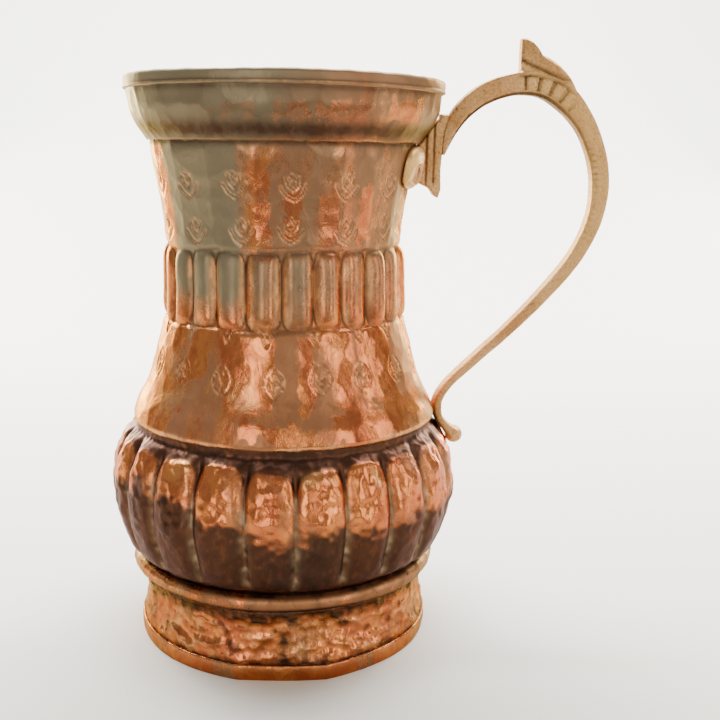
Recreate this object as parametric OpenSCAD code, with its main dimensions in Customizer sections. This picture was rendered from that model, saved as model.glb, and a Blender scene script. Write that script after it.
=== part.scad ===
// Beaten copper water jug with a cast brass handle.
// Axis on Z, flat foot on Z = 0, handle towards +X. Millimetres.

/* [Body heights] */
// Top of the rolled lip
lip_z = 250; // [248:0.5:252]
// Height of the proud band of the lip
lip_band_h = 5.5; // [4.5:0.5:6.5]
// Lower edge of the flared collar, where it laps over the neck
ledge_z = 223.5; // [223:0.5:224.5]
// Upper end of the band of flutes
flute_top_z = 178; // [176:0.5:180]
// Lower end of the band of flutes
flute_low_z = 149; // [147:0.5:151]
// Lower edge of the shoulder skirt
ridge_z = 103.5; // [103:0.5:104.5]
// Height of the widest part of the belly
belly_z = 72; // [70:0.5:74]
// Middle of the half-round ring under the belly
bead_z = 35.5; // [35:0.5:36]
// Height of the band round the foot's lower edge
hem_h = 7; // [5:0.5:9]

/* [Body radii] */
// Outside of the lip
lip_r = 69.2; // [69:0.1:69.6]
// Outside of the neck at its top
neck_r = 58.2; // [57.8:0.1:58.4]
// Outside of the neck at its waist, over the grooves of the flutes
waist_r = 52; // [51:0.25:53]
// Outside of the shoulder skirt at its lower edge
ridge_r = 68.8; // [68.4:0.1:68.9]
// Outside of the belly over the crowns of its lobes
belly_r = 78.9; // [78:0.1:79.2]
// Outside of the wall inside the bead
base_r = 66.2; // [65.8:0.1:66.6]
// Outside of the foot where the band sits
foot_r = 66; // [65:0.25:67]
// Narrowest part of the foot, under the bead
foot_waist_r = 63.6; // [63:0.1:64.4]

/* [Sheet and wire] */
// Thickness of the beaten copper sheet
sheet = 1.2; // [1:0.1:1.4]
// Diameter of the wire rolled into the lip
rim_wire_d = 2.2; // [1.6:0.1:2.4]
// Diameter of the half-round ring under the belly
bead_d = 7.4; // [6.8:0.2:7.8]
// Thickness of the band round the foot
hem_t = 0.9; // [0.6:0.1:1.4]

/* [Lobes] */
// Number of flutes round the neck
flute_count = 24; // [20:1:26]
// How far a flute's crown stands out of its grooves
flute_rise = 1.9; // [1.2:0.1:2.4]
// Direction of the first groove between flutes, from the handle
flute_phase = -2.5; // [-7.5:0.5:7.5]
// Number of lobes round the belly
lobe_count = 22; // [18:1:24]
// Depth of the grooves between the belly's lobes
lobe_depth = 3; // [1.5:0.25:3.5]
// Direction of the first groove of the belly, from the handle
lobe_phase = 2; // [0:0.5:4]

/* [Handle] */
// Width of the cast handle at its top, across its plane
bar_w = 9; // [8:0.5:10]
// Diameter of the knob on the handle's tail
knob_d = 8.2; // [7.8:0.1:8.4]
// Width of the saddle's middle rib
rib_w = 8; // [7:0.5:8]
// Length of each oval cheek of the saddle, along its lean, between its rounded edges
cheek_l = 22; // [18:1:24]
// Height of each cheek, between its rounded edges
cheek_h = 14; // [12:0.5:14]
// Direction of each saddle rivet, from the handle's plane
rivet_turn = 14; // [13:0.5:15]
// Diameter of the rivets' shanks
rivet_d = 3; // [2.6:0.1:3.2]

/* [Hidden] */
$fn = 96;

COPPER = [0.72, 0.36, 0.22];
DARK_COPPER = [0.38, 0.22, 0.16];
ORANGE_COPPER = [0.85, 0.42, 0.24];
CAST_BRASS = [0.72, 0.55, 0.34];
IRON = [0.35, 0.34, 0.33];

CURVE_STEPS = 4;      // straight pieces between two points of a curve
LOBE_STEPS = 6;       // straight pieces across one lobe or flute
BURR_D = 7;           // washers that the rivets' inner ends are hammered over
BURR_T = 0.9;
PEEN_H = 0.8;         // height of a rivet's hammered inner end
PEEN_SPREAD = 1.6;    // how much wider than its shank that end is
SINK_H = 1.2;         // depth of the tail rivet's countersunk head
SINK_SPREAD = 2;      // how much wider than its shank that head is
HEAD_R = 3;           // radius of the saddle rivets' heads
HEAD_H = 1.4;         // and how far they stand up
HOLE_REACH = 12;      // how far a rivet's hole is cut to either side of the sheet
BURR_SET = 3.4;       // how far the saddle's washers lie inside the sloping neck
BAND_TAB = 1.2;       // how far a lobed band runs into its plain neighbour's wall
TAB_INSET = 0.25;     // how far the band's faces lie inside that wall
CONE_LEAN = 0.26;     // how far the sheet under the flutes widens for each millimetre down
FLUTE_END_H = 7;      // height over which a flute fades out at either end
LIP_ROUND = 1.4;      // rounding of the lip's two upper edges
CHEEK_EDGE_R = 2.6;   // rounding of the cheeks' edges
DOME_H = 2.6;         // how far the bottom plate is domed up at its middle
FIT = 0.05;           // play left round pieces that are slid over the body
SEAT_LOW = [70.2, 219.2];   // ends of the bar's sloping seat on the saddle: [x, z]
SEAT_TOP = [72.9, 236.8];
CHEEK_MID = [57.4, 14.6];   // middle of a cheek, seen from above
CHEEK_LEAN = [-0.49, 0.87]; // direction in which a cheek runs round the neck
LAP_H = 3;            // height of the lap between the neck and the collar
FLANGE_W = 6;         // width of the belly's turned-in lower edge

tab_wall = sheet - 2 * TAB_INSET;
lip_low_z = lip_z - lip_band_h;
collar_top_r = lip_r - 1;
collar_knee_r = lip_r - 1.9;
collar_knee_z = lip_low_z - 7.5;
roll_w = 3.8;
wire_r = collar_top_r - sheet / 2;
wire_z = lip_z - 1 - rim_wire_d / 2;
slot_top_z = lip_low_z + 1.9;
cone_top_r = waist_r + 1.6;
lap_r = ridge_r - sheet - 0.1;
lap_top_z = ridge_z + 0.5;
lap_low_z = ridge_z - 4.3;
base_low_z = bead_z - 4;
cheek_z = ledge_z - 10.1;
rivet_z = cheek_z - 1.5;
rivet_seat_r = 59.6;
burr_low_r = neck_r - sheet - BURR_SET;
tail_rivet_z = ridge_z - 1.1;
tail_seat_r = 73.2;
tail_burr_low_r = lap_r - sheet - BURR_T - 3 * FIT;

// ---- curves ----

function reversed(v) = [for (i = [len(v) - 1 : -1 : 0]) v[i]];

// A point at t of the smooth curve from point i to point i + 1
function curve_at(v, i, t) =
  let (
    a = v[max(i - 1, 0)],
    b = v[i],
    c = v[i + 1],
    d = v[min(i + 2, len(v) - 1)]
  )
  b + 0.5 * t * ((c - a) + t * ((2 * a - 5 * b + 4 * c - d) + t * (3 * (b - c) + d - a)));

function curve(v, steps = CURVE_STEPS) = [
  for (i = [0 : len(v) - 2], s = [0 : steps - 1]) curve_at(v, i, s / steps),
  v[len(v) - 1]
];

// The sideways direction of a line at point i, to the right of its run
function side_at(v, i) =
  let (
    run = v[min(i + 1, len(v) - 1)] - v[max(i - 1, 0)],
    u = [run[0], run[1]] / norm([run[0], run[1]])
  )
  [u[1], -u[0]];

// The same line moved sideways by a distance
function moved(v, distance) = [for (i = [0 : len(v) - 1]) v[i] + distance * side_at(v, i)];

// Closed outline of a sheet whose outer face is the given line, drawn from the top down
function sheet_outline(line) = concat(line, reversed(moved(line, sheet)));

module turned(outline) rotate_extrude() polygon(outline);

// ---- lobed shells ----

// How far a direction lies across its lobe: -1 and 1 at the grooves, 0 at the crown
function across(turn, count) = let (t = turn * count / 360) 2 * (t - floor(t)) - 1;

// The inner faces of a lobed wall, from the last ring back to the first
function inner_rings(rings) = [for (ring = reversed(rings)) [ring[0] - ring[3], ring[1], ring[2]]];

// A closed shell through a loop of rings, each [radius, height, lobes]: where rising, the third
// number is how far the crowns stand out of the radius, and otherwise how deep the grooves are cut
module lobed_shell(loop, count, phase, rising) {
  segments = count * LOBE_STEPS;
  rings = len(loop);
  points = [
    for (ring = loop, j = [0 : segments - 1])
      let (
        turn = 360 * j / segments,
        s = across(turn, count),
        radius = ring[0] + ring[2] * (rising ? 1 - s * s : -s * s)
      )
      [radius * cos(turn + phase), radius * sin(turn + phase), ring[1]]
  ];
  faces = [
    for (i = [0 : rings - 1], j = [0 : segments - 1])
      let (
        here = i * segments,
        next = ((i + 1) % rings) * segments,
        k = (j + 1) % segments
      )
      each [
        [here + j, next + k, next + j],
        [here + j, here + k, next + k]
      ]
  ];
  polyhedron(points, faces);
}

// ---- outlines of the body's sheets, outer faces from the top down: [radius, height] ----

collar_line = concat(
  [[collar_top_r, slot_top_z - 2 * FIT]],
  curve([
    [collar_top_r, lip_low_z], [collar_knee_r, collar_knee_z], [neck_r + 5.8, ledge_z + 6],
    [neck_r + 1.3, ledge_z]
  ])
);

neck_top_line = curve([
  [neck_r, ledge_z + LAP_H], [neck_r, ledge_z - 1], [neck_r - 0.6, ledge_z - 7],
  [waist_r + 3, ledge_z - 19.5], [waist_r + 0.5, ledge_z - 33.5], [waist_r, flute_top_z]
]);

cone_line = curve([
  [cone_top_r, flute_low_z], [waist_r + 4.5, flute_low_z - 11], [waist_r + 9.2, flute_low_z - 28],
  [ridge_r - 2.1, ridge_z + 6.5], [ridge_r, ridge_z + 1], [ridge_r, ridge_z - 2]
]);

// Outline of the belly over its crowns: [radius, height, depth of the grooves, wall]
belly_rings = [
  [lap_r - TAB_INSET, lap_low_z + BAND_TAB, 0, tab_wall],
  [lap_r - TAB_INSET, lap_low_z, 0, tab_wall],
  [68, lap_low_z - 1, 0.3, sheet],
  [70.2, lap_low_z - 2.5, 1.4, sheet],
  [72.6, lap_low_z - 5.3, 2.4, sheet],
  [75.2, lap_low_z - 10.2, lobe_depth, sheet],
  [77.3, belly_z + 11.5, lobe_depth, sheet],
  [78.4, belly_z + 5, lobe_depth, sheet],
  [belly_r, belly_z, lobe_depth, sheet],
  [78.2, belly_z - 9, lobe_depth, sheet],
  [76, belly_z - 18.5, 0.9 * lobe_depth, sheet],
  [73.2, belly_z - 26, 0.6 * lobe_depth, sheet],
  [70.6, bead_z + 7.2, 0.5, sheet],
  [base_r, bead_z + 4.4, 0, sheet]
];

// ---- body ----

module lip_band() color(COPPER) {
  inner_r = lip_r - roll_w;
  rotate_extrude() difference() {
    union() {
      translate([inner_r, lip_low_z]) square([roll_w, lip_band_h - LIP_ROUND]);
      translate([inner_r + LIP_ROUND, lip_low_z]) square([roll_w - 2 * LIP_ROUND, lip_band_h]);
      for (r = [inner_r + LIP_ROUND, lip_r - LIP_ROUND])
        translate([r, lip_z - LIP_ROUND]) circle(r = LIP_ROUND);
    }
    translate([collar_top_r - sheet, lip_low_z - 1]) square([sheet, slot_top_z - lip_low_z + 1]);
    translate([wire_r, wire_z]) circle(d = rim_wire_d);
  }
}

module rim_wire() color(IRON)
  rotate_extrude() translate([wire_r, wire_z]) circle(d = rim_wire_d);

module mouth_collar() color(COPPER) turned(sheet_outline(collar_line));

// Radial holes for the two rivets of the saddle
module saddle_rivet_shanks(diameter, from_r, to_r) {
  at_saddle_rivets() translate([from_r, 0, 0]) rotate([0, 90, 0])
    cylinder(h = to_r - from_r, d = diameter);
}

module tail_rivet_shank(diameter, from_r, to_r) {
  translate([from_r, 0, tail_rivet_z]) rotate([0, 90, 0]) cylinder(h = to_r - from_r, d = diameter);
}

// The fluted band, whose ends lie inside the walls above and below it
module fluted_band() {
  mid_z = (flute_top_z + flute_low_z) / 2;
  half = (flute_top_z - flute_low_z) / 2;
  flare = cone_top_r - waist_r;
  fade = [0.12, 0.43, 1];
  crowns = [
    for (end = [1, -1], share = end > 0 ? fade : reversed(fade))
      let (
        h = end * (half - share * FLUTE_END_H),
        low_share = (half - h) / (2 * half)
      )
      [waist_r - TAB_INSET + flare * low_share * low_share, mid_z + h, flute_rise * sqrt(share), sheet]
  ];
  rings = concat(
    [for (h = [BAND_TAB, 0]) [waist_r - TAB_INSET, flute_top_z + h, 0, tab_wall]],
    crowns,
    [
      for (h = [0, BAND_TAB])
        [cone_top_r - TAB_INSET + CONE_LEAN * h, flute_low_z - h, 0, tab_wall]
    ]
  );
  lobed_shell(concat(rings, inner_rings(rings)), flute_count, flute_phase, true);
}

module neck() color(COPPER) union() {
  difference() {
    turned(sheet_outline(neck_top_line));
    saddle_rivet_shanks(rivet_d, neck_r - HOLE_REACH, neck_r + HOLE_REACH);
  }
  difference() {
    turned(sheet_outline(cone_line));
    tail_rivet_shank(rivet_d, ridge_r - HOLE_REACH, ridge_r + HOLE_REACH);
  }
  fluted_band();
}

// Upper edge of the belly, lapped inside the shoulder skirt
module belly_lap() difference() {
  translate([0, 0, lap_low_z]) cylinder(h = lap_top_z - lap_low_z, r = lap_r);
  translate([0, 0, lap_low_z - 1]) cylinder(h = lap_top_z - lap_low_z + 2, r = lap_r - sheet);
  tail_rivet_shank(rivet_d, ridge_r - HOLE_REACH, ridge_r + HOLE_REACH);
}

module belly() color(DARK_COPPER) union() {
  belly_lap();
  flange = [
    [base_r, base_low_z, 0],
    [base_r - FLANGE_W, base_low_z, 0],
    [base_r - FLANGE_W, base_low_z + sheet, 0],
    [base_r - sheet, base_low_z + sheet, 0]
  ];
  lobed_shell(concat(belly_rings, flange, inner_rings(belly_rings)), lobe_count, lobe_phase, false);
}

module bottom_plate() color(DARK_COPPER) {
  plate_r = base_r - sheet - 0.2;
  low_z = base_low_z + sheet;
  dome_r = plate_r - 8;
  under = concat(
    [for (t = [0 : 0.125 : 1]) [t * dome_r, low_z + DOME_H * pow(1 - t * t, 2)]],
    [[plate_r, low_z]]
  );
  over = [for (p = reversed(under)) [p[0], p[1] + sheet]];
  turned(concat(under, over));
}

module base_bead() color(ORANGE_COPPER)
  rotate_extrude() intersection() {
    translate([base_r, bead_z]) circle(d = bead_d);
    translate([base_r + FIT, bead_z - bead_d]) square([bead_d, 2 * bead_d]);
  }

module foot() color(ORANGE_COPPER) {
  top_z = base_low_z;
  line = concat(
    curve([
      [foot_waist_r + 1.4, top_z - 0.4], [foot_waist_r + 0.4, top_z - 4.5], [foot_waist_r, top_z - 10],
      [foot_r - 1.3, hem_h + 6.5], [foot_r, hem_h]
    ]),
    [[foot_r, 0]]
  );
  turned(sheet_outline(line));
  // The turned-in edge that is brazed to the underside of the belly
  flange_r = foot_waist_r - 5;
  translate([0, 0, top_z - sheet]) difference() {
    cylinder(h = sheet, r = foot_waist_r + 1);
    translate([0, 0, -1]) cylinder(h = sheet + 2, r = flange_r);
  }
}

module foot_hem() color(ORANGE_COPPER)
  rotate_extrude() union() {
    translate([foot_r, 0]) square([hem_t, hem_h - hem_t]);
    intersection() {
      translate([foot_r, hem_h - hem_t]) circle(r = hem_t);
      translate([foot_r, 0]) square([hem_t, hem_h]);
    }
  }

// ---- handle ----

// Middle line of the bar in the handle's plane, with its thickness as third number
bar_line = curve([
  [70.2, 219, 1.2], [73.5, 229.5, 6], [78.8, 238, 8], [88, 245.5, 9.2], [101, 250, 9.6],
  [114, 250, 10.6], [125, 244.5, 11.4], [134.5, 233.5, 9.2], [140.6, 220, 8.4], [143, 206, 7.9],
  [141, 190.5, 6.9], [133.5, 174, 6.2], [120.5, 157.5, 5.6], [104, 140.2, 4.7], [87.5, 125, 4.1],
  [76.5, 114.3, 3.7], [72, 107.2, 4], [71.3, 102.4, 4.3], [72.5, 97.6, 3.9], [76.1, 93.2, 4.2],
  [80, 89.4, 6.5]
]);

function plane_line(v, side) = [
  for (i = [0 : len(v) - 1]) [v[i][0], v[i][1]] + side * v[i][2] / 2 * side_at(v, i)
];

// The sail-shaped crest: upright front edge, short curved tip, long curved back
crest_outline = concat(
  [[104, 252], [104, 270]],
  curve([[104, 270], [108.6, 268.9], [112, 265.8], [112.9, 263.2]]),
  curve([[112.9, 263.2], [119, 260.4], [125, 255.6], [129.3, 249]]),
  [[124, 247]]
);

// Middle rib of the saddle in the handle's plane, with the bar's sloping seat on its outer side
rib_outline = concat(
  [[50, 205.5], [50, 221.5], [59.2, 221.5], [62.6, 226.2], [64.8, 229.6], [67, 233], [69, 235],
   [69, SEAT_TOP[1]], SEAT_TOP],
  curve([SEAT_LOW, [69.6, 211], [69.9, 203.5], [68.8, 200], [66.8, 201.2], [64.5, 204.4],
         [60.5, 206.2], [57, 205.5]])
);

// The bar's seat, carried on past both its ends
seat_run = SEAT_TOP - SEAT_LOW;
seat_line = [SEAT_LOW - 0.25 * seat_run, SEAT_TOP + 0.005 * seat_run];

// Lies flat outlines, drawn as [x, z], into the handle's plane
module in_plane(width) rotate([90, 0, 0]) linear_extrude(height = width, center = true) children();

module handle_bar() color(CAST_BRASS) {
  knob = bar_line[len(bar_line) - 1];
  difference() {
    union() {
      in_plane(bar_w) polygon(concat(plane_line(bar_line, 1), reversed(plane_line(bar_line, -1))));
      in_plane(bar_w - 2) polygon(crest_outline);
      translate([knob[0], 0, knob[1]]) sphere(d = knob_d);
    }
    in_plane(2 * bar_w) polygon(concat([[60, seat_line[0][1]]], seat_line, [[71.4, 240], [60, 240]]));
    tail_rivet_shank(rivet_d, ridge_r - HOLE_REACH, tail_seat_r);
    tail_rivet_head();
    tail_rivet_shank(rivet_d + SINK_SPREAD, tail_seat_r, ridge_r + HOLE_REACH);
  }
}

// The body's outer faces that the saddle is fitted to
module saddle_bed() turned(concat([[0, ledge_z - 60], [0, ledge_z + 2]], neck_top_line));

// One cheek of the saddle: an oval leaf that leans from the rib down onto the neck
module cheek(side) {
  hull() for (turn = [0 : 30 : 330]) {
    place = CHEEK_MID + cheek_l / 2 * cos(turn) * CHEEK_LEAN;
    translate([place[0], side * place[1], cheek_z + cheek_h / 2 * sin(turn)])
      sphere(r = CHEEK_EDGE_R, $fn = 18);
  }
}

// The sunk panel in a cheek, with the rivet's head on its floor
module cheek_panel(side) {
  rotate([0, 0, side * rivet_turn]) translate([rivet_seat_r, 0, 0]) rotate([0, 90, 0]) hull() {
    for (z = [rivet_z - 2.2, rivet_z + 2.2]) translate([-z, 0, 0]) cylinder(h = 12, r = 3.1, $fn = 32);
  }
}

module handle_saddle() color(CAST_BRASS) difference() {
  union() {
    in_plane(rib_w) polygon(rib_outline);
    for (side = [-1, 1]) cheek(side);
  }
  saddle_bed();
  for (side = [-1, 1]) cheek_panel(side);
  saddle_rivet_shanks(rivet_d, neck_r - HOLE_REACH, neck_r + HOLE_REACH);
}

// ---- rivets ----

// One rivet of the saddle along X: shank, domed outer head and hammered inner end
module saddle_rivet() {
  low_r = burr_low_r - PEEN_H;
  translate([low_r, 0, 0]) rotate([0, 90, 0]) cylinder(h = rivet_seat_r - low_r, d = rivet_d);
  translate([low_r, 0, 0]) rotate([0, 90, 0])
    cylinder(h = PEEN_H, d1 = rivet_d, d2 = rivet_d + PEEN_SPREAD);
  translate([rivet_seat_r, 0, 0]) intersection() {
    translate([HEAD_H - HEAD_R, 0, 0]) sphere(r = HEAD_R);
    rotate([0, 90, 0]) cylinder(h = HEAD_R, r = HEAD_R);
  }
}

module burr() rotate([0, 90, 0]) difference() {
  cylinder(h = BURR_T, d = BURR_D);
  translate([0, 0, -1]) cylinder(h = BURR_T + 2, d = rivet_d);
}

module at_saddle_rivets() {
  for (side = [-1, 1]) rotate([0, 0, side * rivet_turn]) translate([0, 0, rivet_z]) children();
}

module saddle_rivets() color(COPPER) at_saddle_rivets() saddle_rivet();

module saddle_rivet_burrs() color(COPPER)
  at_saddle_rivets() translate([burr_low_r, 0, 0]) burr();

// The countersunk outer end of the tail's rivet, filed flush with the bar
module tail_rivet_head() {
  translate([tail_seat_r - SINK_H, 0, tail_rivet_z]) rotate([0, 90, 0])
    cylinder(h = SINK_H, d1 = rivet_d, d2 = rivet_d + SINK_SPREAD);
}

module tail_rivet() color(CAST_BRASS) {
  low_r = tail_burr_low_r - PEEN_H;
  tail_rivet_shank(rivet_d, low_r, tail_seat_r - SINK_H);
  tail_rivet_head();
  translate([low_r, 0, tail_rivet_z]) rotate([0, 90, 0])
    cylinder(h = PEEN_H, d1 = rivet_d, d2 = rivet_d + PEEN_SPREAD);
}

module tail_rivet_burr() color(CAST_BRASS) translate([tail_burr_low_r, 0, tail_rivet_z]) burr();

lip_band();
rim_wire();
mouth_collar();
neck();
belly();
bottom_plate();
base_bead();
foot();
foot_hem();
handle_bar();
handle_saddle();
saddle_rivets();
saddle_rivet_burrs();
tail_rivet();
tail_rivet_burr();
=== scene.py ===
"""Looks of the beaten copper jug: lathed sheets with flutes, lobes and stamped flowers, and the cast handle.

Shapes are worked out in millimetres and scaled when they are built. A direction round the jug is in
degrees from its front (-Y) towards the handle (+X, at 90). Every random pattern takes a whole number as
its seed, so that it comes out the same in each run.
"""

import math

import bpy
import numpy as np
from mathutils import Euler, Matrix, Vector, noise

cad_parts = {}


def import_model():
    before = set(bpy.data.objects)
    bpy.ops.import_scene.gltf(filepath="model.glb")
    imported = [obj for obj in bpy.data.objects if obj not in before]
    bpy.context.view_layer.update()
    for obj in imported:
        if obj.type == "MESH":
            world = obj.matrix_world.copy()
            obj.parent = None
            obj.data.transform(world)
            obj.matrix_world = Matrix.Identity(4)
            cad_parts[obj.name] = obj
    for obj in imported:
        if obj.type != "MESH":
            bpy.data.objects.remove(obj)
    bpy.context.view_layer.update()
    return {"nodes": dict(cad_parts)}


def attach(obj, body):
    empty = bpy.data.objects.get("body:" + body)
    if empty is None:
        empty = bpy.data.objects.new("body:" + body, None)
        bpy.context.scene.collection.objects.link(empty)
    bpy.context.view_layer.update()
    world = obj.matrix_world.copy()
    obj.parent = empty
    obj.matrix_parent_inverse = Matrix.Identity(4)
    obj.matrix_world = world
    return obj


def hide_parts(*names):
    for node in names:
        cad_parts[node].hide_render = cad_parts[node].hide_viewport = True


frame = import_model()

MM = 0.001
# Heights (Z) and radii (R) on the body, and directions (AT) round it
LEDGE_Z = 223.5
FLUTE_TOP_Z = 178.0
FLUTE_LOW_Z = 149.0
RIDGE_Z = 103.5
BEAD_Z = 35.5
BEAD_R = 3.7
BEAD_BACK_R = 66.2
SHEET = 1.2
FLUTES = 24
LOBES = 22
HANDLE_AT = 90.0
FOOT_R = 66.0
FLAT_AT = -1.0
FLAT_HALF = 16.0


# ---- small helpers ----


def curve(points, step):
    """Catmull-Rom curve through the points, resampled at about that step."""
    points = np.asarray(points, float)
    padded = np.vstack([points[0], points, points[-1]])
    parts = []
    for a, b, c, d in zip(padded, padded[1:], padded[2:], padded[3:]):
        t = np.linspace(0, 1, 24, endpoint=False)[:, None]
        parts.append(b + 0.5 * t * ((c - a) + t * ((2 * a - 5 * b + 4 * c - d) + t * (3 * (b - c) + d - a))))
    dense = np.vstack(parts + [points[-1:]])
    run = np.concatenate([[0], np.cumsum(np.linalg.norm(np.diff(dense[:, :2], axis=0), axis=1))])
    marks = np.linspace(0, run[-1], max(2, int(round(run[-1] / step)) + 1))
    return np.stack([np.interp(marks, run, dense[:, k]) for k in range(dense.shape[1])], axis=1)


def turn_between(phi, centre):
    """Signed angle from centre to phi, in degrees, between -180 and 180."""
    return (phi - centre + 180) % 360 - 180


def bump(distance, width):
    """1 at no distance, falling smoothly to nothing at about twice the width."""
    return np.exp(-((distance / width) ** 2))


def step_up(x, low, high):
    """0 below low, 1 above high, smooth between."""
    t = np.clip((x - low) / (high - low), 0, 1)
    return t * t * (3 - 2 * t)


def waves(phi, z, seed, size, across=3.0, up=0.06):
    """Slow unevenness that joins up round the jug, about -size to size."""
    rng = np.random.default_rng(seed)
    total = 0
    for _ in range(7):
        n = rng.integers(1, int(across) + 2)
        total = total + np.sin(np.radians(n * phi) + rng.uniform(-up, up) * z * 2 + rng.uniform(0, 6.28))
    return size * total / 3


def ring_waves(phi, seed, across):
    """Unevenness round the jug that stays the same all the way up, about -1 to 1."""
    return waves(phi, 0 * phi, seed, 1.0, across)


def wandering(phi, count, phase, seed, size):
    """Place across each lobe, -1 and 1 at the grooves and 0 at the crown, with uneven spacing."""
    rng = np.random.default_rng(seed)
    shift = sum(size / n * np.sin(np.radians(n * phi) + rng.uniform(0, 6.28)) for n in (3, 5, 8))
    turn = (phi - phase + shift) * count / 360
    return 2 * (turn - np.floor(turn)) - 1


def across_flute(phi):
    """Place across each flute, which was struck by eye and so wanders a little."""
    return wandering(phi, FLUTES, -2.7, 21, 2.4)


def blows(phi, z, radius, spacing, seed):
    """Cells left by hammer blows: 0 in the middle of each, about 1 where it meets its neighbours."""
    rng = np.random.default_rng(seed)
    low, high = float(z.min()) - spacing, float(z.max()) + spacing
    rows = max(1, int((high - low) / spacing))
    columns = int(2 * math.pi * radius / spacing)
    wide = 2 * math.pi * radius
    x = np.radians(phi % 360) * radius
    x, z = np.broadcast_arrays(x, z)
    nearest = np.full(x.shape, 9.0)
    row_h = (high - low) / rows
    for row in range(rows):
        mid = low + (row + 0.5) * row_h
        near_rows = np.abs(z[:, 0] - mid) < 2 * spacing
        if not near_rows.any():
            continue
        xs, zs = x[near_rows], z[near_rows]
        best = nearest[near_rows]
        for column in range(columns):
            cx = (column + 0.5 * (row % 2) + rng.uniform(-0.36, 0.36)) * wide / columns
            cz = mid + rng.uniform(-0.36, 0.36) * row_h
            dx = (xs[0] - cx + wide / 2) % wide - wide / 2
            hit = np.abs(dx) < 1.5 * spacing
            d = (dx[hit] ** 2 + (zs[:, hit] - cz) ** 2) / spacing**2
            best[:, hit] = np.minimum(best[:, hit], d)
        nearest[near_rows] = best
    return np.clip(nearest / 0.35, 0, 1.6)


def grain_grid(phi, z, size, seed):
    """Soft random blotches about that many millimetres across, -1 to 1, on a jug-sized cylinder."""
    rng = np.random.default_rng(seed)
    columns, rows = int(440 / size), int(260 / size) + 2
    values = rng.uniform(-1, 1, (rows, columns))
    x = (phi % 360) / 360 * columns
    y = np.clip(z / size, 0, rows - 1.001)
    x, y = np.broadcast_arrays(x, y)
    i, j = np.floor(x).astype(int), np.floor(y).astype(int)
    u, v = step_up(x - i, 0, 1), step_up(y - j, 0, 1)
    near, far = i % columns, (i + 1) % columns
    low_row = values[j, near] * (1 - u) + values[j, far] * u
    high_row = values[j + 1, near] * (1 - u) + values[j + 1, far] * u
    return low_row * (1 - v) + high_row * v


def segment_distance(u, v, points):
    """Distance from (u, v) to a line through the points."""
    best = np.full(u.shape, 1e3)
    for (ax, ay), (bx, by) in zip(points, points[1:]):
        dx, dy = bx - ax, by - ay
        t = np.clip(((u - ax) * dx + (v - ay) * dy) / (dx * dx + dy * dy), 0, 1)
        best = np.minimum(best, np.hypot(u - ax - t * dx, v - ay - t * dy))
    return best


def stamped(phi, z, radius, centres, reach, shape):
    """Depth of a mark punched at each centre (direction, height, tilt); shape(u, v) is 0 to 1."""
    total = np.zeros(np.broadcast_shapes(phi.shape, z.shape))
    for centre, height, tilt in centres:
        rows = np.where(np.abs(z[:, 0] - height) < reach)[0]
        columns = np.where(np.abs(turn_between(phi[0], centre)) * math.radians(radius) < reach)[0]
        if not len(rows) or not len(columns):
            continue
        u = np.radians(turn_between(phi[0, columns], centre))[None, :] * radius
        v = z[rows, :1] - height
        c, s = math.cos(math.radians(tilt)), math.sin(math.radians(tilt))
        total[np.ix_(rows, columns)] += shape(u * c + v * s, v * c - u * s)
    return total


# ---- meshes ----


def mesh_object(name, points, faces, **fields):
    """An object from millimetre points and quads, with per-point numbers for its material."""
    mesh = bpy.data.meshes.new(name)
    mesh.from_pydata((np.asarray(points) * MM).tolist(), [], np.asarray(faces).tolist())
    mesh.polygons.foreach_set("use_smooth", [True] * len(mesh.polygons))
    for field, values in fields.items():
        layer = mesh.attributes.new(field, "FLOAT", "POINT")
        layer.data.foreach_set("value", np.ascontiguousarray(values, dtype=np.float32).ravel())
    obj = bpy.data.objects.new(name, mesh)
    bpy.context.scene.collection.objects.link(obj)
    return obj


def loop_faces(rings, columns):
    """Quads of a grid that closes in both directions."""
    i = np.arange(rings)[:, None]
    j = np.arange(columns)[None, :]
    down, right = (i + 1) % rings, (j + 1) % columns
    quads = np.stack([i * columns + j, down * columns + j, down * columns + right, i * columns + right], -1)
    return quads.reshape(-1, 4)


def sheet_section(line, wall, step, inner_step=4.0):
    """Closed section of a sheet from its outer line (top down): points and +1 outside, -1 inside."""
    outer = curve(line, step)
    coarse = curve(line, inner_step)
    run = np.gradient(coarse, axis=0)
    run /= np.linalg.norm(run, axis=1)[:, None]
    inner = coarse + wall * np.stack([run[:, 1], -run[:, 0]], 1)
    section = np.vstack([outer, inner[::-1]])
    return section, np.concatenate([np.ones(len(outer)), -np.ones(len(inner))])


def out_of_round(phi, z):
    """How far the whole body is out of round, so that pieces that touch stay together."""
    away = 1 - bump(turn_between(phi, HANDLE_AT), 30)
    # the front of the foot is beaten flat between two corners that stand a little proud
    from_flat = np.clip(turn_between(phi, FLAT_AT), -FLAT_HALF, FLAT_HALF)
    facet = FOOT_R * (1 - math.cos(math.radians(FLAT_HALF)) / np.cos(np.radians(from_flat)))
    facet = facet - 2.2 * bump(turn_between(phi, FLAT_AT + 5), 20)
    pulled = 1.3 * bump(turn_between(phi, HANDLE_AT), 26) * step_up(z, 224, 240)
    uneven = 0.45 * waves(phi, z, 17, 1.0, 4, 0.01) * away
    return uneven + pulled - step_up(-z, -24, -5) * facet


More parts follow.
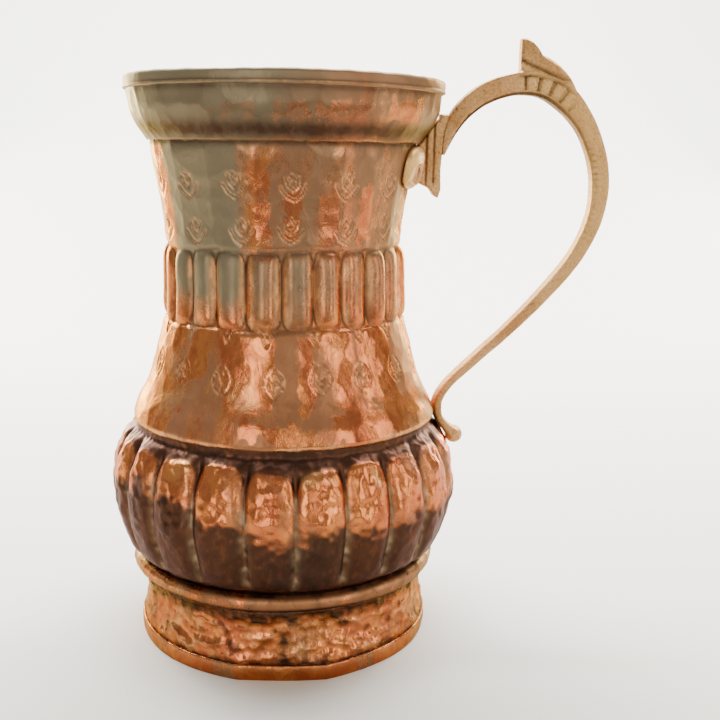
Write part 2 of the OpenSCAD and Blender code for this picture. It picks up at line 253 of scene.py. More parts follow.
# Facets rubbed bright on the upper body, the long one at -74 down the left edge also a painted highlight:
# (direction, half width, low z, high z, strength)
BRIGHT_FACETS = [
    (-18, 9, 233, 238.5, 0.20), (2, 7, 232.5, 237, 0.20), (16, 6, 233, 238, 0.18), (47, 9, 232, 240, 0.26),
    (-74, 15, 104, 222, 0.34), (80, 8, 120, 200, 0.3), (-10.5, 4.2, 181, 201, 0.34), (-10, 4, 203, 217, 0.30),
    (3.5, 2.7, 184, 205, 0.26), (19.5, 3.4, 183, 205, 0.24), (38, 3.2, 183, 205, 0.24),
    (-6, 3, 216, 223, 0.1), (-12, 8, 131, 146, 0.34), (-9, 4, 118, 130, 0.26),
    (9, 3, 116, 144, 0.22), (-38, 4, 128, 146, 0.2), (43, 9, 118, 150, 0.22), (35, 16, 104, 116, 0.22),
    (-6, 10, 106, 112, 0.18), (150, 5, 181, 215, 0.3), (205, 6, 183, 208, 0.3), (250, 4, 186, 214, 0.3),
    (170, 9, 116, 146, 0.26), (225, 7, 112, 140, 0.26),
]


def weathering(phi, z):
    """How much browner (over 0) or brighter (under 0) each part of the body has become, with the
    facets rubbed bright along ragged edges."""
    share = 0.06 * step_up(z, 176, 180) + 0.06 * step_up(z, 218, 230) - 0.04 * step_up(z, 149, 152)
    ragged = 1.3 * grain_grid(phi, z, 2.6, 14)
    up = z + 3 * grain_grid(phi, z, 3.4, 15)
    for centre, half, low, high, strength in BRIGHT_FACETS:
        across = step_up(-np.abs(turn_between(phi, centre)) - ragged, -half - 1, -half + 0.6)
        above_low = step_up(up, low - 1.5, low + 1)
        share = share - strength * across * above_low * step_up(-up, -high - 1, -high + 1.5)
    return share


def patina_glare_and_shade(phi, z):
    """Share of olive-brown film and painted light: film that is thick over the left of the neck and the
    mouth, where it is also a painted haze of glare, and thin over the rest of the upper body; and painted
    shade down the middle of the front flutes."""
    upper = step_up(z, 150, 168)
    # the film over the left of the neck and over the mouth is also a painted haze of glare
    left = step_up(-turn_between(phi, -15), 0, 7) * step_up(turn_between(phi, -15), -48, -38)
    mouth = step_up(z, 219, 226) * step_up(-turn_between(phi, -5), -32, 20)
    mouth = mouth * step_up(turn_between(phi, -20), -60, -40)
    fluted = step_up(z, FLUTE_LOW_Z + 1, FLUTE_LOW_Z + 5) * step_up(-z, -FLUTE_TOP_Z, -FLUTE_TOP_Z + 3)
    # painted shade: darker olive down the middle of each front flute
    centres = bump(across_flute(phi), 0.5) * fluted * step_up(-np.abs(turn_between(phi, -8)), -36, -22)
    return np.clip(0.85 * left * upper + 0.9 * mouth * (1 - left), 0, 0.9) + 0.4 * upper + 0.5 * centres


def lathed(name, section, side, columns, relief):
    """A turned piece. relief(phi, z) gives how far the sheet is bent outwards, how far its outer
    face is raised besides, the dirt and painted shade on it, and its wear and painted highlights."""
    phi = (np.arange(columns) * 360.0 / columns)[None, :] - 180
    run = np.roll(section, -1, axis=0) - np.roll(section, 1, axis=0)
    run /= np.maximum(np.linalg.norm(run, axis=1), 1e-9)[:, None]
    normal = np.stack([-run[:, 1], run[:, 0]], 1)
    z = section[:, 1:2]
    shape = (len(section), columns)
    bent, raised, dirt, rubbed = (np.broadcast_to(part, shape) for part in relief(phi, z))
    outside = (side > 0)[:, None]
    move = np.where(outside, bent + raised, -bent)
    r = section[:, :1] + normal[:, :1] * move + out_of_round(phi, z)
    h = z + normal[:, 1:2] * move
    turn = np.radians(phi)
    points = np.stack([r * np.sin(turn), -r * np.cos(turn), np.broadcast_to(h, shape)], -1)
    inside = np.broadcast_to(np.where(outside, 0.0, 1.0), shape)
    return mesh_object(name, points.reshape(-1, 3), loop_faces(*shape), dirt=dirt, rubbed=rubbed,
                       inside=inside, browned=weathering(phi, z), olive=patina_glare_and_shade(phi, z))


# ---- reliefs ----


def medallion(u, v):
    """Pointed oval with a five-petalled flower on a stem."""
    height, width = 6.2, 4.2
    t = np.clip(v / height, -1, 1)
    edge = width * np.cos(t * math.pi / 2) ** 0.75
    outline = bump(np.abs(u) - edge, 0.42) * (np.abs(v) < height)
    angle = np.arctan2(v - 1, u)
    petals = bump(np.hypot(u, v - 1) - (1.35 + 0.75 * np.cos(5 * angle)), 0.4)
    stem = bump(segment_distance(u, v, [(0, -0.6), (0.2, -4.6)]), 0.35)
    leaves = bump(segment_distance(u, v, [(-1.9, -1.6), (0, -3.2), (1.9, -1.6)]), 0.35)
    return np.clip(outline + petals + stem + leaves, 0, 1)


def chevron(u, v):
    """Two leaves that spread upwards from a point."""
    left = segment_distance(u, v, [(-3.6, 3.0), (-1.7, 1.3), (0, -2.4)])
    right = segment_distance(u, v, [(3.6, 3.0), (1.7, 1.3), (0, -2.4)])
    dot = np.hypot(u, v - 1.9)
    return np.clip(bump(left, 0.45) + bump(right, 0.45) + bump(dot - 0.7, 0.35), 0, 1)


def tulip(u, v):
    """A small open flower between two curled leaves."""
    u, v = u / 1.3, v / 1.35
    cup = segment_distance(u, v, [(-2.0, 3.2), (-1.5, 0.9), (0, -0.4), (1.5, 0.9), (2.0, 3.2)])
    tip = segment_distance(u, v, [(-0.9, 2.4), (0, 4.0), (0.9, 2.4)])
    leaves = segment_distance(u, v, [(-4.0, 0.6), (-2.4, -1.9), (0, -3.4), (2.4, -1.9), (4.0, 0.6)])
    return np.clip(bump(cup, 0.42) + bump(tip, 0.4) + bump(leaves, 0.45), 0, 1)


def dots(u, v):
    """Three punched rings set in a triangle."""
    total = 0
    for x, y in ((-1.7, 0.8), (1.7, 0.8), (0, -1.8)):
        total = total + bump(np.hypot(u - x, v - y) - 0.8, 0.35)
    return np.clip(total, 0, 1)


def row_of(count, first, height, seed):
    """Centres of one row of stamps: direction, height and tilt, each a little out of place."""
    rng = np.random.default_rng(seed)
    return [
        (first + 360 * k / count + rng.uniform(-1.4, 1.4), height + rng.uniform(-1, 1), rng.uniform(-8, 8))
        for k in range(count)
    ]


# Rows of stamps round the neck: (mark, radius there, reach, how many, direction of the first, height, seed)
STAMP_ROWS = [
    (medallion, 61, 8, 18, -5.4, 128.5, 31),
    (chevron, 56, 6, 18, -6.3, 144.5, 32),
    (tulip, 56, 8, 15, 3.9, 205.0, 33),
    (tulip, 54, 8, 15, 4.0, 187.5, 34),
]


def neck_stamps(phi, z):
    """Depth of every stamp on the neck, with the rings on both sides of the saddle."""
    marks = 0
    for mark, radius, reach, *row in STAMP_ROWS:
        marks = marks + stamped(phi, z, radius, row_of(*row), reach, mark)
    return marks + stamped(phi, z, 57, [(HANDLE_AT - 20, 216, 0), (HANDLE_AT + 20, 216, 0)], 5, dots)


def collar_relief(phi, z):
    """Two faint upright ridges, hammer marks, painted shadow in the cove, dirt under the lip, and a painted
    highlight along the ledge.
    """
    bent = waves(phi, z, 11, 0.35) + 0.5 * bump(turn_between(phi, 65), 2.2) * step_up(z, 231, 240)
    hammer = blows(phi, z, 64, 9, 12)
    raised = 0.22 * hammer + 0.25 * bump(turn_between(phi, -61), 1.5)
    # painted shadow in the cove, and dirt under the lip and in the hammer marks
    dirt = 0.95 * bump(z - 228, 4.2) + 0.55 * bump(z - 243.6, 1.4) + 0.12 * hammer
    # the last share is a painted highlight along the collar's lower edge at the ledge
    return bent, raised, dirt, 0.5 * bump(z - 223.7, 0.45)


def neck_relief(phi, z):
    """Flutes, facets and stamps, with the crease over the skirt's edge."""
    # the flutes are pads with rounded ends, set a little higher and lower by turns
    s = across_flute(phi)
    middle = (FLUTE_TOP_Z + FLUTE_LOW_Z) / 2 + ring_waves(phi, 25, 9)
    t = (z - middle) / (0.5 * (FLUTE_TOP_Z - FLUTE_LOW_Z) + 1.2)
    past_edge = np.abs(s) ** 3.4 + np.abs(t) ** 4.2
    fluted = step_up(-np.abs(t), -1.12, -0.95)
    crown = np.clip(1 - past_edge, 0, 1) ** 0.5
    rim = bump(past_edge - 1.15, 0.16) * (np.abs(t) > 0.6)
    depth = 2.3 + 0.8 * ring_waves(phi, 29, 12)
    bent = (0.9 * crown + depth * (1 - s * s) * crown - 1.3) * fluted + waves(phi, z, 22, 0.3)
    # tall flat facets beaten down the upper neck
    above = step_up(z, FLUTE_TOP_Z, FLUTE_TOP_Z + 8)
    panel = wandering(phi, 20, 5, 23, 3.0)
    bent = bent + above * 0.45 * panel * panel
    hammer = blows(phi, z, 56, 8, 24)
    marks = neck_stamps(phi, z)
    raised = 0.2 * hammer * (1 - 0.6 * fluted) - 0.5 * marks + 0.3 * rim
    # painted shade in the flutes' grooves and the stamps' punched lines, painted shadow under the ledge and
    # under the ridge below the crease, and darker round the saddle
    groove = fluted * bump(past_edge - 1.05, 0.36)
    dirt = np.clip((0.45 + 0.55 * s * s) * groove + 0.5 * step_up(marks, 0.6, 0.95), 0, 1)
    crease_z = RIDGE_Z - 1.4 + 1.5 * bump(np.abs(turn_between(phi, 0)) - 45, 20)
    crease_z = crease_z + 0.5 * ring_waves(phi, 27, 9)
    dirt = dirt + 0.8 * bump(z - LEDGE_Z + 0.5, 1.6) + 0.85 * step_up(crease_z - z, 0.4, 1.3)
    around_saddle = bump(turn_between(phi, HANDLE_AT), 26) * bump(z - 208, 15)
    # painted highlights along the crease, along the flutes' shoulders in patches, and beside the stamps'
    # punched lines
    edge = 1.5 * bump(z - crease_z, 0.8) * (0.65 + 0.5 * ring_waves(phi, 26, 12))
    patchy = np.clip(0.45 + 0.8 * grain_grid(phi, z / 3, 3, 28), 0, 1)
    shoulder_highlights = fluted * (crown > 0) * bump(np.abs(s - 0.06) - 0.76, 0.17)
    rubbed = np.clip(edge, 0, 1) + 1.3 * patchy * shoulder_highlights
    rubbed = rubbed + 0.75 * bump(marks - 0.4, 0.25) * (marks > 0.1)
    return bent, raised, np.clip(dirt + 0.8 * around_saddle, 0, 1), rubbed


def belly_relief(phi, z):
    """Lobes with rounded tops, hammer marks, painted shade in the grooves and painted shadow under the
    shoulder's ridge, and darker over their lower half with a ragged edge.
    """
    s = wandering(phi, LOBES, 3.3, 41, 1.6)
    lobed = step_up(z, BEAD_Z + 4, BEAD_Z + 15) * step_up(-z, -100, -92)
    groove = np.abs(s) ** 3.6
    top = np.clip((z - 84 - ring_waves(phi, 45, 9)) / 10.5, 0, 2)
    past_top = step_up(np.abs(s) ** 4 + top**2.2, 0.75, 1.25) * (top > 0)
    bent = -2.9 * lobed * groove - 0.55 * past_top * step_up(-z, -100.5, -98) + waves(phi, z, 42, 0.35)
    hammer = blows(phi, z, 77, 8.5, 43)
    small = blows(phi, z, 77, 4.2, 44)
    upper = step_up(z, 56, 66) * bump(s, 0.7)
    raised = (0.26 + 0.2 * upper) * hammer * (0.4 + 0.6 * lobed) + 0.34 * small * upper
    raised = raised + 0.22 * upper * grain_grid(phi, z, 2.6, 50) + 0.12 * grain_grid(phi, z, 5, 53)
    # painted shade down the grooves above the darker lower half, and painted shadow over the lobes' tops and
    # under the shoulder's ridge
    dirt = np.clip(lobed * (np.abs(s) ** 4 * 1.6 - 0.5) * step_up(z, 52, 74), 0, 1)
    dirt = dirt + 0.9 * past_top + 0.9 * bump(z - 99.8, 1.8) + 0.4 * bump(z - 37, 1.6)
    # the lower half is darker, with a ragged edge
    darker_below_z = 69.5 + 11 * bump(turn_between(phi, -48), 22) + 2.5 * ring_waves(phi, 47, 5)
    edge_play = 4.5 * grain_grid(phi, z, 7, 48) + 3.2 * grain_grid(phi, z, 2.4, 49)
    darker_below = step_up(darker_below_z - z + edge_play, -3.2, 2.6)
    dirt = np.maximum(dirt + 0.95 * step_up(z, 95, 98), darker_below)
    # paler streaks down the grooves
    ragged = 0.55 + 0.6 * grain_grid(phi, z, 2.4, 46)
    streak_share = 0.6 + 0.25 * step_up(-z, -72, -58)
    streaks = bump(np.abs(s) - 1, 0.15) * step_up(z, 38, 44) * step_up(-z, -88, -82)
    rubbed = streak_share * streaks * np.clip(ragged, 0, 1)
    return bent, raised, np.clip(dirt, 0, 1), rubbed


def bead_relief(phi, z):
    """Hammer marks, with painted shade along the lower edge, dirt along the upper edge, and a painted
    highlight line above the middle.
    """
    hammer = blows(phi, z, 70, 7, 51)
    # painted shade under the bead, over dirt in the hammer marks
    dirt = 0.3 * hammer + 0.95 * step_up(-z, -BEAD_Z + 0.8, -BEAD_Z + 2.8)
    dirt = dirt + 0.5 * step_up(z, BEAD_Z + 2.2, BEAD_Z + 3.4)
    # the last share is a painted highlight line above the bead's middle
    return waves(phi, z, 52, 0.3, 5), 0.2 * hammer, np.clip(dirt, 0, 1), 0.3 * bump(z - BEAD_Z - 1.6, 0.7)


def foot_relief(phi, z):
    """Deep hammer marks, with painted shade in the cove under the bead, and dirt above the hem and in a
    streak at the front.
    """
    bent = waves(phi, z, 61, 0.35, 7) * step_up(z, 4, 12)
    hammer = blows(phi, z, 65, 8.5, 62)
    small = blows(phi, z, 65, 4.2, 63)
    raised = (0.6 * hammer + 0.42 * small) * step_up(z, 5, 10)
    # painted shade in the cove under the bead
    dirt = 0.95 * bump(z - 31, 4.5 + 1.5 * grain_grid(phi, z, 9, 64))
    dirt = dirt + 0.8 * bump(z - 7.4, 0.8) + 0.25 * small
    from_streak = turn_between(phi, -0.5 + 2 * grain_grid(phi, z, 6, 65))
    dirt = dirt + 0.8 * bump(from_streak, 2.6) * step_up(-z, -24, -18)
    dirt = np.clip(dirt + 0.5 * step_up(grain_grid(phi, z, 4.5, 66), 0.35, 0.6), 0, 1)
    return bent, raised, dirt, 0.5 * step_up(hammer, 0.9, 1.3) * step_up(-z, -26, -20)


def plate_relief(phi, z):
    """A few hammer marks."""
    hammer = blows(phi, z, 60, 8, 81)
    return waves(phi, z, 82, 0.15), 0.12 * hammer, 0.3 * hammer, 0.0


def lip_relief(phi, z):
    """Faint hammer marks, dirt under the roll and a worn lower edge."""
    hammer = blows(phi, z, 68, 8, 71)
    raised = 0.14 * hammer + waves(phi, z, 72, 0.18, 6)
    patchy = 0.6 + 0.5 * grain_grid(phi, z, 5, 74)
    return 0.0, raised, 0.7 * bump(z - 245.9, 0.5), np.clip(0.8 * patchy * bump(z - 245.1, 0.3), 0, 1)


def hem_relief(phi, z):
    """Hammer marks, dirt along the top and a rubbed line under it."""
    raised = 0.22 * blows(phi, z, 66, 7, 73) * step_up(z, 0.5, 2)
    return 0.0, raised, 0.6 * bump(z - 7, 0.6), 0.4 * bump(z - 5.5, 0.8)


# ---- the body ----


def lip_band():
    outline = [
        (68.0, 249.95), (68.9, 249.6), (69.15, 248.6), (69.1, 246.6), (69.05, 245.7), (69.35, 245.2),
        (69.2, 244.6), (68.4, 244.4), (66.5, 244.4), (65.3, 244.7), (64.9, 247), (65.3, 249.2),
        (66.4, 249.95),
    ]
    section = curve(outline, 0.6)
    return lathed("lip_band_beaten", section, np.ones(len(section)), 480, lip_relief)


def mouth_collar():
    line = [
        (68.2, 246.2), (68.2, 244.5), (67.6, 240), (67.1, 236.8), (65.6, 232.6), (64, 229.5), (61.6, 226.2),
        (59.6, 223.6),
    ]
    section, side = sheet_section(line, SHEET, 0.7)
    return lathed("mouth_collar_beaten", section, side, 480, collar_relief)


def neck():
    line = [
        (58.2, 226.4), (58.2, 222.5), (57.6, 216.5), (55, 204), (52.7, 190), (52, 178), (51.9, 170),
        (52.1, 160), (52.7, 153), (53.7, 148.6), (56.5, 138), (61.2, 121), (66.6, 110), (68.6, 105),
        (68.9, 103.3), (68.3, 101.7),
    ]
    section, side = sheet_section(line, SHEET, 0.78, 6.0)
    return lathed("neck_fluted", section, side, 520, neck_relief)


def belly():
    line = [
        (67.5, 104), (67.5, 99.4), (70.2, 96.7), (72.6, 93.9), (75.2, 89), (77.3, 83.5), (78.4, 77),
        (78.9, 72), (78.2, 63), (76, 53.5), (73.2, 46), (70.6, 42.7), (66.6, 39.7), (66.2, 31.7),
    ]
    section, side = sheet_section(line, SHEET, 0.75)
    return lathed("belly_lobed", section, side, 660, belly_relief)


def base_bead():
    turn = np.radians(np.linspace(-88, 88, 23)[::-1])
    arc = np.stack([BEAD_BACK_R + 0.1 + BEAD_R * np.cos(turn), BEAD_Z + BEAD_R * np.sin(turn)], 1)
    back = [(BEAD_BACK_R, BEAD_Z - 3), (BEAD_BACK_R, BEAD_Z), (BEAD_BACK_R, BEAD_Z + 3)]
    section = np.vstack([arc, back])
    return lathed("base_bead_beaten", section, np.ones(len(section)), 480, bead_relief)


def foot():
    line = [(58.6, 31.4), (63, 31.4), (65, 30.7), (64, 27), (63.6, 21.5), (64.7, 13.5), (66, 7), (66.1, 0.05)]
    section, side = sheet_section(line, SHEET, 0.6)
    return lathed("foot_beaten", section, side, 560, foot_relief)


def foot_hem():
    outline = [(66.1, 6.4), (66.5, 7), (66.95, 6.3), (67.0, 3.4), (66.8, 0.6), (66.6, 0.02), (66.1, 0.02)]
    section = curve(outline, 0.5)
    return lathed("foot_hem_beaten", section, np.ones(len(section)), 480, hem_relief)


def bottom_plate():
    underside = [(0.05, 35.3), (20, 34.9), (40, 33.7), (56, 32.85), (64.7, 32.8)]
    section, side = sheet_section(underside, SHEET, 1.5)
    return lathed("bottom_plate_beaten", section + [0, SHEET], side, 360, plate_relief)


# ---- the handle ----

# Middle line of the bar in the handle's plane, with its thickness: (x, z, thickness)
BAR_LINE = [
    (70.4, 219, 1.6), (73.5, 229.5, 6), (78.8, 238, 8), (88, 245.5, 9.2), (101, 250, 9.6), (114, 250, 10.6),
    (125, 244.5, 11.4), (134.5, 233.5, 9.2), (140.6, 220, 8.4), (143, 206, 7.9), (141, 190.5, 6.9),
    (133.5, 174, 6.2), (120.5, 157.5, 5.6), (104, 140.2, 4.7), (87.5, 125, 4.1), (76.5, 114.3, 3.7),
    (72, 107.2, 4), (71.3, 102.4, 4.3), (72.5, 97.6, 3.9), (76.1, 93.2, 4.2), (80, 89.4, 6.5),
]
# Outlines in the handle's plane: (x, z)
CREST = [
    (103.9, 250), (103.9, 262), (104.0, 269.9), (106.2, 269.7), (108.6, 268.6), (110.6, 266.8), (112, 265.0),
    (113.0, 263.1), (116.0, 262.0), (119, 260.4), (122.2, 258.2), (125, 255.4), (127.6, 252.2),
    (129.9, 248.2), (131.4, 244.4), (127, 243), (116, 249),
]
SADDLE_RIB = [
    (56.6, 206.4), (56.8, 221.5), (58.4, 222.2), (61.9, 226.4), (64.4, 229.8), (67, 233), (69.1, 235),
    (69.2, 236.8), (72.7, 236.8), (72.4, 233), (70.6, 221.5), (70.0, 219.2), (69.6, 211), (69.9, 203.5),
    (68.8, 200), (66.8, 201.2), (64.5, 204.4), (60.5, 206.2),
]
BAR_HALF_W = 4.5
CREST_HALF_W = 3.7
RIB_HALF_W = 4.0
KNOB_R = 4.1
# Each cheek: its middle's height and degrees from the handle's plane, half its size, how far its rounded
# edge goes past that, how far it stands out of the neck and reaches into it, and how square its oval is
CHEEK_Z = 213.4
CHEEK_TURN = 16.3
CHEEK_HALF_W = 11
CHEEK_HALF_H = 7
CHEEK_ROUNDING = 2.2
CHEEK_OUTER = 3.9
CHEEK_INNER = 1.2
CHEEK_SQUARENESS = 2.6
NECK_TOP_R = 58.5
PANEL_AT = 19.5


def outward_of(line):
    """Directions square to the bar's middle line, away from the gap inside the handle."""
    run = np.gradient(line[:, :2], axis=0)
    run /= np.linalg.norm(run, axis=1)[:, None]
    return np.stack([-run[:, 1], run[:, 0]], 1)


def ring_faces(rings, columns):
    """Quads between rings of points that are each closed."""
    return [
        (i * columns + j, i * columns + (j + 1) % columns,
         (i + 1) * columns + (j + 1) % columns, (i + 1) * columns + j)
        for i in range(rings - 1)
        for j in range(columns)
    ]


def end_faces(rings, columns):
    """One face over the first ring and one over the last."""
    return [tuple(reversed(range(columns))), tuple(range((rings - 1) * columns, rings * columns))]


def turned_over(faces):
    """The same faces from the same first points, seen from the other side."""
    return [(face[0], *face[:0:-1]) for face in faces]


def bar_mesh():
    """The bar, swept with a section that is flat outside and bevelled along its inner edges."""
    line = curve(BAR_LINE, 1.2)
    # (share of the half width, share of the half thickness inwards)
    section = [
        (-1, -0.55), (-0.93, -0.95), (0, -1), (0.93, -0.95), (1, -0.55),
        (1, 0.45), (0.72, 1), (0, 1), (-0.72, 1), (-1, 0.45),
    ]
    points = [
        (x - inward * out[0] * thick / 2, across * BAR_HALF_W, z - inward * out[1] * thick / 2)
        for (x, z, thick), out in zip(line, outward_of(line))
        for across, inward in section
    ]
    size = len(line), len(section)
    return points, ring_faces(*size) + end_faces(*size)


def slab_mesh(outline, half_w, round_by):
    """A flat outline in the handle's plane, given a width and two softened edges."""
    outline = np.asarray(outline, float)
    toward = outline.mean(axis=0) - outline
    toward /= np.linalg.norm(toward, axis=1)[:, None]
    rings = [(-half_w, round_by), (round_by - half_w, 0), (half_w - round_by, 0), (half_w, round_by)]
    points = [(x, y, z) for y, shrink in rings for x, z in outline + toward * shrink]
    size = len(rings), len(outline)
    return points, ring_faces(*size) + end_faces(*size)


def ball_mesh(x, z, radius):
    """A ball in the handle's plane."""
    steps = 20
    points = []
    for polar in np.linspace(0, math.pi, steps + 1):
        for turn in np.linspace(0, 2 * math.pi, steps, endpoint=False):
            wide = radius * math.sin(polar)
            points.append((x + wide * math.cos(turn), wide * math.sin(turn), z + radius * math.cos(polar)))
    return points, turned_over(ring_faces(steps + 1, steps))


def welded(name, solids, grain):
    """One skin round overlapping solids, welded on a grid of that many millimetres and softened."""
    points, faces = [], []
    for part_points, part_faces in solids:
        base = len(points)
        points += part_points
        faces += [tuple(base + k for k in face) for face in part_faces]
    rough = bpy.data.meshes.new(name + "_rough")
    rough.from_pydata([tuple(c * MM for c in p) for p in points], [], faces)
    obj = bpy.data.objects.new(name, rough)
    bpy.context.scene.collection.objects.link(obj)
    weld = obj.modifiers.new("weld", "REMESH")
    weld.mode = "VOXEL"
    weld.voxel_size = grain * MM
    soften = obj.modifiers.new("soften", "SMOOTH")
    soften.factor = 0.5
    soften.iterations = 3
    obj.data = bpy.data.meshes.new_from_object(obj.evaluated_get(bpy.context.evaluated_depsgraph_get()))
    obj.modifiers.clear()
    bpy.data.meshes.remove(rough)
    return obj


def cast(name, solids, grain, shape_surface):
    """A casting. shape_surface(place, normal) gives how far each point moves out, its dirt and painted shade,
    and its wear and painted highlights.
    """
    obj = welded(name, solids, grain)
    mesh = obj.data
    count = len(mesh.vertices)
    place, normal = np.empty(count * 3), np.empty(count * 3)
    mesh.vertices.foreach_get("co", place)
    mesh.vertex_normals.foreach_get("vector", normal)
    place = place.reshape(-1, 3) / MM
    normal = normal.reshape(-1, 3)
    move, dirt, rubbed = shape_surface(place, normal)
    mesh.vertices.foreach_set("co", ((place + normal * move[:, None]) * MM).ravel())
    mesh.polygons.foreach_set("use_smooth", [True] * len(mesh.polygons))
    for field, share in (("dirt", dirt), ("rubbed", rubbed)):
        layer = mesh.attributes.new(field, "FLOAT", "POINT")
        layer.data.foreach_set("value", np.clip(share, 0, 1).astype(np.float32))
    mesh.update()
    return obj


def grain_of(place, size, seed):
    """Perlin noise at each point, -1 to 1."""
    shift = Vector((seed * 3.7, seed * 1.3, seed * 2.1))
    return np.array([noise.noise(Vector(p) / size + shift) for p in place])


def bar_surface(place, normal):
    """Pits, the blocks and nicks cut into the bar's sides, the sunk band across its crest, painted shadow
    along the inner side of its arch, and wear.
    """
    line = curve(BAR_LINE, 1.0)
    flat = place[:, [0, 2]]
    along = np.argmin(((flat[:, None, :] - line[None, :, :2]) ** 2).sum(-1), axis=1)
    across = ((flat - line[along, :2]) * -outward_of(line)[along]).sum(1)
    # -1 on the bar's outer side and 1 on its inner side
    depth = across / line[along, 2] * 2
    pits = grain_of(place, 1.1, 1)
    coarse = grain_of(place, 6.0, 2)
    move = 0.12 * coarse - 0.16 * np.clip(pits - 0.25, 0, 1)
    sides = np.abs(normal[:, 1]) > 0.6
    # painted shadow: a dark strip along the inner side of the bar's arch, which faces down
    inner_painted_shadow = step_up(depth, 0.66, 0.8) * step_up(place[:, 2], 205, 228)
    # rectangular blocks cut under the crest, with dark notches between, and shallow nicks further down
    x, z = place[:, 0], place[:, 2]
    under_crest = step_up(x, 101, 106) * step_up(-x, -131, -124) * (z > 236) * sides
    notch = bump((along / 6.2 + 0.1) % 1 - 0.5, 0.17) * (np.abs(depth - 0.05) < 0.62) * under_crest
    shelf = bump(depth + 0.62, 0.13) * under_crest
    move = move - 0.9 * notch - 0.6 * shelf
    fade = step_up(along, 88, 100) * step_up(-along, -165, -120)
    nick = bump((along / 3.1) % 1 - 0.5, 0.14) * bump(depth - 0.6, 0.3) * fade
    move = move - 0.4 * nick
    # a sunk band and a paler one across the crest, parallel to its base
    on_crest = (x > 103) * (z > 252) * sides
    above_base = (x - 104) * 0.37 + (z - 260.3) * 0.93
    band = bump(above_base, 0.8) * on_crest
    move = move - 0.6 * band + 0.15 * bump(above_base + 2.2, 0.7) * on_crest
    dirt = 0.9 * inner_painted_shadow + 0.9 * notch + 0.7 * shelf + 0.6 * nick + 0.8 * band
    blocks = under_crest * (np.abs(depth - 0.05) < 0.55) * (1 - notch)
    outer_run = step_up(x, 114, 130) * step_up(z, 110, 150) * (0.5 + 0.5 * grain_of(place, 9.0, 5))
    dirt = dirt + 0.22 * step_up(-x, -94, -72) * step_up(z, 190, 215) + 0.16 * step_up(z, 257, 262)
    rubbed = 0.3 * blocks + 0.7 * outer_run + 0.4 * bump(above_base + 2.6, 1.0) * on_crest
    return move, dirt + 1.2 * np.clip(pits - 0.3, 0, 1), rubbed


def cheek_mesh(side):
    """An oval cheek wrapped round the neck beside the rib, with softly rounded edges."""
    rings, columns = 13, 40
    points = []
    for polar in np.linspace(0, math.pi, rings):
        for around in np.linspace(0, 2 * math.pi, columns, endpoint=False):
            across, up = math.cos(around), math.sin(around)
            corner = abs(across) ** CHEEK_SQUARENESS + abs(up) ** CHEEK_SQUARENESS
            swell = corner ** (-1 / CHEEK_SQUARENESS) * math.sin(polar) ** 0.35
            sideways = swell * (CHEEK_HALF_W + CHEEK_ROUNDING * math.sin(polar)) * across
            z = CHEEK_Z + swell * (CHEEK_HALF_H + CHEEK_ROUNDING * math.sin(polar)) * up
            neck_r = np.interp(z, (204, 216.5, 222.5), (55, 57.6, 58.2)) + 0.9
            r = neck_r + math.cos(polar) * (CHEEK_OUTER if polar < math.pi / 2 else CHEEK_INNER)
            turn = side * (math.radians(CHEEK_TURN) + sideways / NECK_TOP_R)
            points.append((r * math.cos(turn), r * math.sin(turn), z))
    faces = turned_over(ring_faces(rings, columns))
    return points, faces if side > 0 else [face[::-1] for face in faces]


def saddle_surface(place, normal):
    """Pits, the rib's upright grooves, an arched panel sunk into each cheek, and painted highlights over each
    cheek's outer part and round its panel.
    """
    x, y, z = place.T
    turn = np.degrees(np.arctan2(np.abs(y), x))
    on_cheek = turn > 7
    pits = grain_of(place, 1.0, 3)
    move = 0.14 * grain_of(place, 5.0, 4) - 0.14 * np.clip(pits - 0.25, 0, 1)
    rib = np.abs(y) > 3.2
    rib_grooves = (bump(x - 66.2, 0.55) + bump(x - 62.8, 0.5)) * rib * (turn < 6) * step_up(z, 203, 208)
    move = move - 0.5 * rib_grooves
    u = np.radians(turn - PANEL_AT) * 59
    v = z - CHEEK_Z + 1.9
    arch = np.maximum(np.abs(u) / 1.9, np.hypot(u / 1.9, np.maximum(v, 0)))
    arch = np.maximum(arch, -v - 1.2) - 3.9
    panel = step_up(-arch, -0.3, 0.5) * on_cheek
    rim = bump(arch, 0.5) * on_cheek
    move = move - 1.3 * panel + 0.35 * rim
    dirt = 0.8 * rib_grooves + 0.5 * panel + 0.5 * bump(turn - 6.5, 1.5) + np.clip(pits - 0.3, 0, 1)
    # painted highlights over each cheek's outer part and along the rim round its panel
    rubbed = 0.95 * step_up(turn, 20.5, 23.5) + 0.4 * rim
    return move, dirt, rubbed


def handle_bar():
    knob_x, knob_z, _ = BAR_LINE[-1]
    solids = [bar_mesh(), slab_mesh(CREST, CREST_HALF_W, 1.4), ball_mesh(knob_x, knob_z, KNOB_R)]
    return cast("handle_bar_cast", solids, 0.4, bar_surface)


def handle_saddle():
    solids = [slab_mesh(SADDLE_RIB, RIB_HALF_W, 0.7), cheek_mesh(-1), cheek_mesh(1)]
    return cast("handle_saddle_cast", solids, 0.3, saddle_surface)


# ---- materials ----


